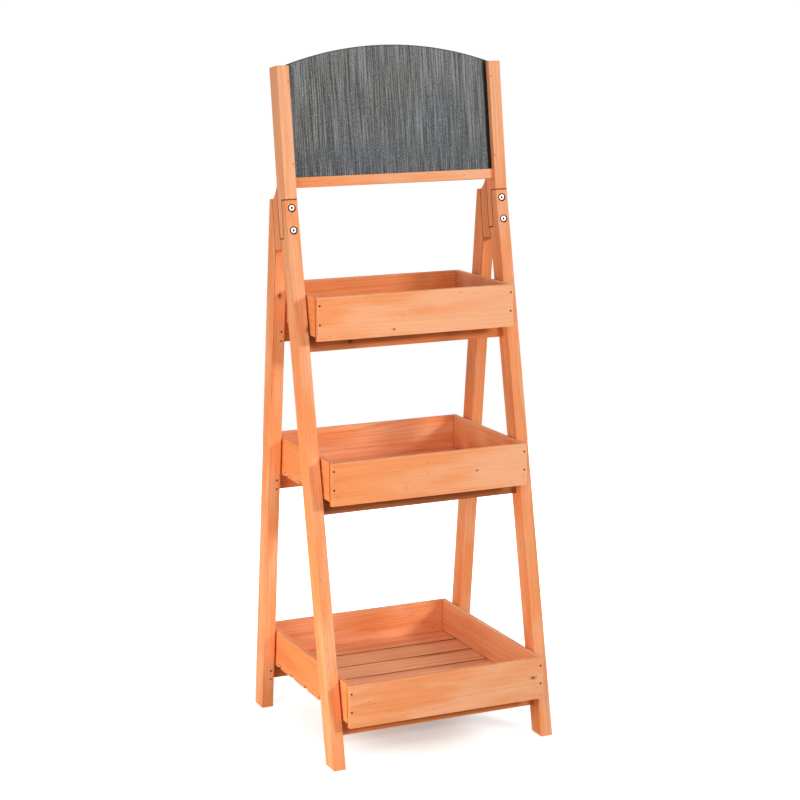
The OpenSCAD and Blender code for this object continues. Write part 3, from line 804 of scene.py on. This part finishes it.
def joint_seams_and_shadow(side):
    """The dark lines on both faces of a side frame, and the joint line across its front:
    round the lap of post and front leg, and round the block, where it meets the front leg
    below the lap, the post above it and the rear leg behind it; along the block's lower
    edge, where it meets no board, the line is painted shadow."""
    lap = [(0, 0), (LAP_D, 0), (LAP_D, -TONGUE_L), (LEG_D, -TONGUE_L), (LEG_D, COVE_TOP)]
    # The middle step of under, along the block's lower edge, is painted shadow, not a joint
    under = [(leg_back(-TONGUE_L), -TONGUE_L), (leg_back(-BLOCK_DROP), -BLOCK_DROP),
             (BLOCK_BACK, -BLOCK_DROP), (BLOCK_BACK, BLOCK_TOP)]
    lines = [pair for path in (lap, under) for pair in zip(path, path[1:])]
    faces = (side * STAND_W / 2, side * INNER_X)
    dark_lines = [(post_point(x, *a), post_point(x, *b)) for x in faces for a, b in lines]
    return dark_lines + [(post_point(faces[0], 0, 0), post_point(faces[1], 0, 0))]


def leg_faces(side):
    """X of the two faces of a side frame's boards, the lower one first."""
    return sorted([side * STAND_W / 2, side * INNER_X])


for side_name, side in SIDES.items():
    for end, corners, up in (("front", front_leg_corners, LEG_UP), ("rear", rear_leg_corners, REAR_UP)):
        name = f"{end}_leg_{side_name}"
        mesh = board_mesh(name, corners, *leg_faces(side), side_place, 0.8)
        nails = [nail_hole(*spot, RAIL_NAIL_L) for spot in rail_nail_spots(end, side)]
        mesh = cut(mesh, [pocket(end, level, side) for level in LEVELS], nails, bolt_holes(side))
        dress(name, mesh, "frame", f"{end}_leg", (0, up[0], up[1]), (0, up[1], -up[0]), 0.15, 1.1,
              joint_seams_and_shadow(side), shaded_bolt_bores(side))
print("legs:", [len(p.data.polygons) for p in pieces])

# %% [markdown]
# ## Posts and blocks
# A header post laps behind its front leg with a tongue, and the block that spreads the rear
# leg has a hollow sawn across its top. Both are outlines again; the hollow is an arc.

# %% Posts and blocks
COVE_STEPS = 16
post_corners = [on_post(LAP_D, -TONGUE_L), on_post(LEG_D, -TONGUE_L), on_post(LEG_D, POST_L),
                on_post(0, POST_L), on_post(0, 0), on_post(LAP_D, 0)]


def cove():
    """The arc of radius COVE_R from the block's back top edge to its front top edge."""
    start, stop = np.array([BLOCK_BACK, BLOCK_TOP]), np.array([LEG_D, COVE_TOP])
    chord = stop - start
    half = np.linalg.norm(chord) / 2
    out = np.array([chord[1], -chord[0]]) / (2 * half)
    centre = (start + stop) / 2 + out * np.sqrt(COVE_R ** 2 - half ** 2)
    first, last = (np.arctan2(*(p - centre)[::-1]) % (2 * np.pi) for p in (start, stop))
    q = np.linspace(first, last, COVE_STEPS)
    return [tuple(on_post(*(centre + COVE_R * np.array([np.cos(k), np.sin(k)])))) for k in q]


block_corners = [on_post(leg_back(-BLOCK_DROP), -BLOCK_DROP), on_post(BLOCK_BACK, -BLOCK_DROP), *cove(),
                 on_post(LEG_D, -TONGUE_L), on_post(leg_back(-TONGUE_L), -TONGUE_L)]
GROOVE = (BOARD_SET - GROOVE_FIT, BOARD_SET + BOARD_T + GROOVE_FIT)
ALONG_POST = np.array([0, np.sin(POST_LEAN), np.cos(POST_LEAN)])


def upright_place(u, v, w):
    """Header's face view to space: u is X, v along the posts and w across them."""
    return post_point(u, w, v)


def pin_spots(side):
    """Head centres of the pins of one post."""
    return [np.array(post_point(side * (INNER_X + PIN_IN), 0, up)) for up in PIN_UP]


for side_name, side in SIDES.items():
    name = f"header_post_{side_name}"
    groove_x = sorted([side * (INNER_X - PAST), side * (INNER_X + GROOVE_DEEP + GROOVE_FIT)])
    groove = block(groove_x, (LEDGE_TOP, POST_L + PAST), GROOVE, upright_place)
    pins = [nail_hole(at, ACROSS_POST, LEG_D - PIN_END) for at in pin_spots(side)]
    mesh = board_mesh(name, post_corners, *leg_faces(side), side_place, 0.8)
    mesh = cut(mesh, [groove], pins, bolt_holes(side))
    dress(name, mesh, "frame", "header_post", ALONG_POST, ACROSS_POST, 0.15, 1.3, joint_seams_and_shadow(side))
    name = f"joint_block_{side_name}"
    mesh = cut(board_mesh(name, block_corners, *leg_faces(side), side_place, 0.8, 1.8), bolt_holes(side))
    dress(name, mesh, "frame", "joint_block", ALONG_POST, ACROSS_POST, 0.15, 1.8, joint_seams_and_shadow(side))
print("frame pieces so far:", len(pieces))

# %% Rails and the chalkboard's ledge
for end in ("front", "rear"):
    for level in LEVELS:
        name = f"{end}_rail_{level}"
        corners = rail_corners(level, RAIL_Y[end], RAIL_DEPTH[end])
        mesh = board_mesh(name, corners, -INNER_X - RAIL_IN, INNER_X + RAIL_IN, side_place, 0.9)
        if end == "front":
            mesh = cut(mesh, [nail_hole(*spot, RAIL_NAIL_L) for side in SIDES.values()
                              for spot in rail_nail_spots(end, side)])
        dress(name, mesh, "frame", name if end == "front" else "rear_rail", (1, 0, 0), (0, 1, 0))

ledge = board_mesh("ledge", rectangle(LEDGE_SET, LEDGE_UP, LEDGE_D, LEDGE_H), -INNER_X, INNER_X,
                   lambda u, v, w: upright_place(w, v, u), 0.8)
slot_box = block((-INNER_X - PAST, INNER_X + PAST), (LEDGE_TOP - GROOVE_DEEP, LEDGE_TOP + PAST), GROOVE,
                 upright_place)
dress("chalkboard_ledge", cut(ledge, [slot_box]), "frame", "chalkboard_ledge", (1, 0, 0), ACROSS_POST, 0.15)
print("rails and ledge made, pieces now:", len(pieces))

# %% [markdown]
# ## Trays
# Each tray is a plain nailed box: front and back boards, two shorter sides between them,
# and slats nailed up into the sides. The front and back hang a little below the slats, so
# that the tray can't slide off its rails.

# %% Trays
CORNER_NAIL_L, SLAT_NAIL_L, HALF_TRAY = 32.0, 25.0, TRAY_W / 2
TRAY_NAIL_X = (-(TRAY_W - WALL) / 2, (TRAY_W - WALL) / 2)


def end_nail_spots(level, end):
    """Head centres and direction of the corner nails in a front or back board."""
    y = tray_span(level)[0 if end == "front" else 1] + STAND_Y
    z0 = LEVEL_Z[level] - LIP
    into = np.array([0.0, 1.0 if end == "front" else -1.0, 0.0])
    return [(np.array([x, y, z0 + z]), into) for x in TRAY_NAIL_X for z in CORNER_NAIL_Z]


def slat_start(level, k):
    """Front edge of slat k, counted from 0."""
    front, back = tray_span(level)
    pitch = (back - front - 2 * WALL - SLAT_W) / (SLATS[level] - 1)
    return front + WALL + k * pitch


def slat_nail_spots(level, k):
    """Head centres and direction of a slat's two nails, driven up from below."""
    y = slat_start(level, k) + SLAT_W / 2 + STAND_Y
    return [(np.array([x, y, LEVEL_Z[level]]), np.array([0, 0, 1.0])) for x in TRAY_NAIL_X]


def depth_place(u, v, w):
    """Front view to space: u is X, v is Z and w is Y."""
    return u, w + STAND_Y, v


def corner_seams(level):
    """Upright lines where a tray's boards meet at its corners, outside and inside, and the
    lines inside between its sides and slats."""
    (front, back), z0 = tray_span(level), LEVEL_Z[level] - LIP
    low_z, ends = LEVEL_Z[level] + SLAT_T, (front + WALL + STAND_Y, back - WALL + STAND_Y)
    across = [side * (HALF_TRAY - inset) for side in SIDES.values() for inset in (0, WALL)]
    upright = [((x, y, z0), (x, y, z0 + TRAY_H)) for x in across for y in ends]
    return upright + [((x, ends[0], low_z), (x, ends[1], low_z)) for x in (across[1], across[3])]


def slat_gap_shade(level, k):
    """The upper front and back edges of a slat, painted dark as the shade in the gaps between slats."""
    z, y = LEVEL_Z[level] + SLAT_T - 0.8, slat_start(level, k) + STAND_Y
    return [((-HALF_TRAY, at, z), (HALF_TRAY, at, z)) for at in (y, y + SLAT_W)]


for level in LEVELS:
    body, (front, back), dark_lines = f"{level}_tray", tray_span(level), corner_seams(level)
    z0, low_z = LEVEL_Z[level] - LIP, LEVEL_Z[level] + SLAT_T
    for end, y, figure in (("front", front, 0.5), ("back", back - WALL, 1.4)):
        name = f"{level}_tray_{end}"
        mesh = board_mesh(name, rectangle(y, z0, WALL, TRAY_H), -HALF_TRAY, HALF_TRAY, side_place, 0.6)
        mesh = cut(mesh, [nail_hole(*spot, CORNER_NAIL_L) for spot in end_nail_spots(level, end)])
        dress(name, mesh, body, name, (1, 0, 0), (0, 1, 0), 0.5, figure, dark_lines)
    for side_name, side in SIDES.items():
        name = f"{level}_tray_{side_name}"
        corners = rectangle(side * (TRAY_W - WALL) / 2 - WALL / 2, low_z, WALL, z0 + TRAY_H - low_z)
        mesh = board_mesh(name, corners, front + WALL, back - WALL, depth_place, 0.6)
        dress(name, mesh, body, side_name, (0, 1, 0), (1, 0, 0), 0.5, 1.0, dark_lines)
    for k in range(SLATS[level]):
        name = f"{level}_tray_slat_{k + 1}"
        corners = rectangle(slat_start(level, k), LEVEL_Z[level], SLAT_W, SLAT_T)
        mesh = board_mesh(name, corners, -HALF_TRAY, HALF_TRAY, side_place, 0.7, 2.0)
        mesh = cut(mesh, [nail_hole(*spot, SLAT_NAIL_L) for spot in slat_nail_spots(level, k)])
        dress(name, mesh, body, "slat", (1, 0, 0), (0, 0, 1), 0.2, 2.2, dark_lines + slat_gap_shade(level, k))
print("wooden pieces:", len(pieces), "faces:", sum(len(p.data.polygons) for p in pieces))

# %% [markdown]
# ## Nails, pins and bolts
# A wire nail is a flat head pressed from the wire, with the wood crushed round it. The
# bolts are zinc plated, with a domed rim and a hexagon socket. Both are profiles turned
# round an axis; in the socket the circle turns to a hexagon on its way down.

# %% Bright zinc and dull nail steel
SOCKET_SHADE, SCRATCH_M = "15120F", 0.00004


def plated(name, base, dull, roughness, scratch_mm, patch_mm):
    """Plated or bare steel: a metal whose roughness is broken up by fine scratches, and
    whose colour is dulled in small patches. Points marked as socket are painted black, as the shade deep in a
    hexagon socket."""
    material, tree, shader = new_material(name)
    place = add_node(tree, "ShaderNodeTexCoord").outputs["Object"]
    scratch = grains(tree, place, [scratch_mm] * 3, 2.0)
    colour = blend(tree, ramp(tree, grains(tree, place, [patch_mm] * 3, 3.0), 0.45, 0.7), base, dull)
    colour = blend(tree, mark_of(tree, "socket"), colour, SOCKET_SHADE)
    rough = ramp(tree, scratch, 0.0, 1.0, roughness - 0.1, roughness + 0.2)
    plug(tree, shader, {"Base Color": colour, "Metallic": 1.0, "Roughness": rough,
                        "Normal": bumps(tree, scratch, SCRATCH_M)})
    return material


zinc = plated("bright_zinc_plate", "E9EAEC", "C3C6C8", 0.30, 0.35, 2.5)
nail_steel = plated("dull_nail_steel", "4B3524", "241812", 0.45, 0.3, 0.9)
pin_steel = plated("stained_pin_steel", "B87A50", "8A5434", 0.5, 0.3, 0.9)
print("metals:", zinc.name, nail_steel.name, pin_steel.name)


# %% Nails and pins
def nail_shape(at, into, length):
    """A nail whose flat head is sunk a quarter of a millimetre, with a short point."""
    head = [(0.02, 0.32), (1.1, 0.30), (1.6, 0.25), (NAIL_HEAD_R, 0.45), (NAIL_HEAD_R, NAIL_HEAD_T)]
    shank = [(NAIL_R, NAIL_HEAD_T), (NAIL_R, length - 3), (0.1, length)]
    return turned(head + shank, at, into, NAIL_STEPS)


nails = [nail_shape(*spot, RAIL_NAIL_L) for end in RAIL_Y for side in SIDES.values()
         for spot in rail_nail_spots(end, side)]
pins = [nail_shape(at, ACROSS_POST, LEG_D - PIN_END) for side in SIDES.values() for at in pin_spots(side)]
stand_in("rail_nails", joined_mesh("nails", nails), "frame", nail_steel)
stand_in("chalkboard_pins", joined_mesh("pins", pins), "frame", pin_steel)
for level in LEVELS:
    nails = [nail_shape(*spot, CORNER_NAIL_L) for end in ("front", "back")
             for spot in end_nail_spots(level, end)]
    nails += [nail_shape(*spot, SLAT_NAIL_L) for k in range(SLATS[level])
              for spot in slat_nail_spots(level, k)]
    stand_in(f"{level}_tray_nails", joined_mesh("nails", nails), f"{level}_tray", nail_steel)
print("nails and pins made, pieces now:", len(pieces))

# %% Bolts, washers and nuts
HEAD_R, SOCKET_W, SOCKET_DEEP = 5.25, 4.5, 3.0
WASHER_R, WASHER_T, NUT_W, NUT_H, BOLT_END = 6.25, 1.2, 10.0, 5.0, 1.5
NUT_LOW, NUT_HIGH = NUT_SEAT + WASHER_T, NUT_SEAT + WASHER_T + NUT_H
SOCKET_CORNER = 1.16 * SOCKET_W / 2


def hexagon(width):
    """Radius of a hexagon of that width across its flats: (width / 2) / cos of the angle
    to the nearest flat."""
    q = np.linspace(0, 2 * np.pi, BOLT_STEPS, endpoint=False)
    return width / 2 / np.cos(q % (np.pi / 3) - np.pi / 6)


def bolt_shape(at, seat):
    """Socket floor, socket wall, domed rim, head and shank, as rings from the inside out."""
    six, top, tip = hexagon(SOCKET_W), seat - HEAD_H, NUT_HIGH + BOLT_END
    rings = [(0.4, top + SOCKET_DEEP + 0.8), (0.97 * six, top + SOCKET_DEEP), (six, top + 0.35),
             (six + 0.3, top + 0.05), (HEAD_R * 0.80, top), (HEAD_R * 0.93, top + 0.22), (HEAD_R, top + 0.8),
             (HEAD_R, seat - 0.2), (HEAD_R * 0.97, seat), (BOLT_R, seat), (BOLT_R, tip - 0.6),
             (BOLT_R - 0.6, tip)]
    return turned(rings, at, ACROSS_POST, BOLT_STEPS)


def nut_shape(at):
    """A hexagon whose corners are turned off to a circle at both faces, with its bore."""
    six, bore = hexagon(NUT_W), BOLT_R + 0.05
    turned_off = np.minimum(six, NUT_W / 2 * 0.98)
    rings = [(bore, NUT_LOW), (turned_off, NUT_LOW), (six, NUT_LOW + 0.7), (six, NUT_HIGH - 0.7),
             (turned_off, NUT_HIGH), (bore + 0.5, NUT_HIGH), (bore, NUT_HIGH - 0.5)]
    return turned(rings, at, ACROSS_POST, BOLT_STEPS, hollow=True)


def washer_shape(at):
    """A flat ring with a softly pressed rim."""
    bore, low, high = BOLT_R + BOLT_FIT, NUT_SEAT, NUT_LOW
    rings = [(bore, low), (WASHER_R - 0.2, low), (WASHER_R, low + 0.25), (WASHER_R, high - 0.35),
             (WASHER_R - 0.3, high), (bore + 0.2, high), (bore, high - 0.2)]
    return turned(rings, at, ACROSS_POST, BOLT_STEPS, hollow=True)


bolt_places = [(np.array(post_point(side * BOLT_X, 0, -drop)), bolt_seat(drop))
               for side in SIDES.values() for drop in BOLT_DROPS]
for node, shapes in (("joint_bolts", [bolt_shape(at, seat) for at, seat in bolt_places]),
                     ("joint_washers", [washer_shape(at) for at, seat in bolt_places]),
                     ("joint_nuts", [nut_shape(at) for at, seat in bolt_places])):
    mesh = joined_mesh(node, shapes)
    if node == "joint_bolts":
        off = 1000 * read(mesh.vertices, "co", 3)[:, None] - np.array([at for at, seat in bolt_places])
        down = off @ ACROSS_POST
        out = np.linalg.norm(off - down[..., None] * ACROSS_POST, axis=2)
        tops = np.array([seat - HEAD_H for at, seat in bolt_places])
        # The socket's wall and floor are marked to be painted black, as shade in the recess
        shaded_socket = (out < SOCKET_CORNER) & (down > tops + 0.2) & (down < tops + 5)
        keep_mark(mesh, "socket", shaded_socket.any(1))
    mesh.shade_smooth()
    mesh.set_sharp_from_angle(angle=np.radians(35))
    stand_in(node, mesh, "frame", zinc)
print("fasteners made, pieces now:", len(pieces))

# %% [markdown]
# ## Chalkboard
# The panel is thin board painted with black slate paint, and chalk dust was rubbed into it
# up and down with a cloth. The paint shows nearly black on the rim, where the cloth didn't
# reach, and beside each post a black margin is painted shade, the right one as wide as the
# post's shadow on the panel. The slate grey of the rest is partly the dust and partly the key
# lamp's sheen, painted into the colour. It lies in fine upright streaks about a millimetre
# wide, broken up by the weave of the cloth, paler towards the top by a painted sheen, and it
# is a little warmer in the upper left.

# %% Slate paint
# The greys are partly chalk dust and partly painted sheen: the key lamp's reflection on near-black paint, put
# into the colour
SLATE_DARK, SLATE, SLATE_PALE, SLATE_WARM, SHADE_AND_BARE_BLACK = "15191D", "50585F", "989EA3", "575653", "0B0B0B"
# Width across the panel and length up it, in millimetres, and how many finer layers
STREAKS = {"narrow": (0.9, 85, 0), "broad": (4.0, 300, 1), "weave": (1.2, 1.7, 0), "cloud": (140, 90, 1)}
STREAK_ROUGH, STREAK_M = 0.65, 0.00015
# Widths of the painted post shadows at the left and right, the panel's heights, the painted sheen's rise
# towards the top, and the warmth's
POST_SHADE_MM, PANEL_Z, TOP_SHEEN, MORE_WARMTH = (4.5, 7.4), (1.08, 1.28), (-0.022, 0.034), (-0.14, 0.08)


def slate_paint():
    material, tree, shader = new_material("black_slate_paint")
    place = add_node(tree, "ShaderNodeTexCoord").outputs["Object"]
    across, height = (add_node(tree, "ShaderNodeSeparateXYZ", {0: place}).outputs[axis] for axis in "XZ")

    def math(*values):
        return sums(tree, *values)

    def noise(name):
        wide, tall, layers = STREAKS[name]
        return grains(tree, place, (wide, tall, tall), layers, STREAK_ROUGH)

    # How much chalk dust and painted sheen a spot shows
    dust_and_sheen = math("ADD", math("MULTIPLY", noise("narrow"), 0.57), math("MULTIPLY", noise("broad"), 0.05))
    dust_and_sheen = math("ADD", dust_and_sheen, math("MULTIPLY", noise("weave"), 0.38))
    # Paler towards the top: painted sheen
    dust_and_sheen = math("ADD", dust_and_sheen, ramp(tree, height, *PANEL_Z, *TOP_SHEEN))
    warm = math("ADD", noise("cloud"), ramp(tree, height, *PANEL_Z, *MORE_WARMTH))
    warm = math("MULTIPLY_ADD", across, -0.4, warm)
    colour = blend(tree, ramp(tree, warm, 0.36, 0.64), SLATE, SLATE_WARM)
    colour = blend(tree, ramp(tree, dust_and_sheen, 0.51, 0.43, 0.0, 0.80), colour, SLATE_DARK)
    colour = blend(tree, ramp(tree, dust_and_sheen, 0.51, 0.61, 0.0, 0.80), colour, SLATE_PALE)
    # Painted shade: black margins beside the posts, the right one as wide as that post's shadow on the panel;
    # and the rim, nearly black where the cloth slipped off
    left_end, right_end = POST_SHADE_MM[0] - INNER_X, INNER_X - POST_SHADE_MM[1]
    bare = math("MAXIMUM", ramp(tree, across, (right_end - 0.5) / 1000, (right_end + 0.5) / 1000),
                ramp(tree, across, (left_end + 0.5) / 1000, (left_end - 0.5) / 1000))
    bare = math("MAXIMUM", bare, math("MULTIPLY", mark_of(tree, "edge"), 0.9))
    plug(tree, shader, {"Base Color": blend(tree, bare, colour, SHADE_AND_BARE_BLACK), "Specular IOR Level": 0.25,
                        "Roughness": ramp(tree, dust_and_sheen, 0.3, 0.7, 0.42, 0.62),
                        "Normal": bumps(tree, dust_and_sheen, STREAK_M)})
    return material


slate = slate_paint()
print("slate paint:", len(slate.node_tree.nodes), "nodes")

# %% Chalkboard panel
ARCH_STEPS = 49
half, foot = INNER_X + GROOVE_DEEP, LEDGE_TOP - GROOVE_DEEP
notch = GROOVE_DEEP + GROOVE_FIT
reach = np.arcsin(half / ARCH_R)
q = np.linspace(reach, -reach, ARCH_STEPS)
arch = np.stack([ARCH_R * np.sin(q), BOARD_TOP - ARCH_R + ARCH_R * np.cos(q)], 1)
panel_corners = [(-half, foot + notch), (-half + notch, foot + notch), (-half + notch, foot),
                 (half - notch, foot), (half - notch, foot + notch), (half, foot + notch), *map(tuple, arch)]
mesh = board_mesh("chalkboard", panel_corners, BOARD_SET, BOARD_SET + BOARD_T, upright_place, 0.5, 2.4)
stand_in("chalkboard", mesh, "frame", slate)

# %% [markdown]
# ## Counting
# The dressed stand has to fill the same box as the drawing; here its pieces and triangles are counted.

print("pieces:", len(pieces), "triangles:", sum(len(p.vertices) - 2 for o in pieces for p in o.data.polygons))
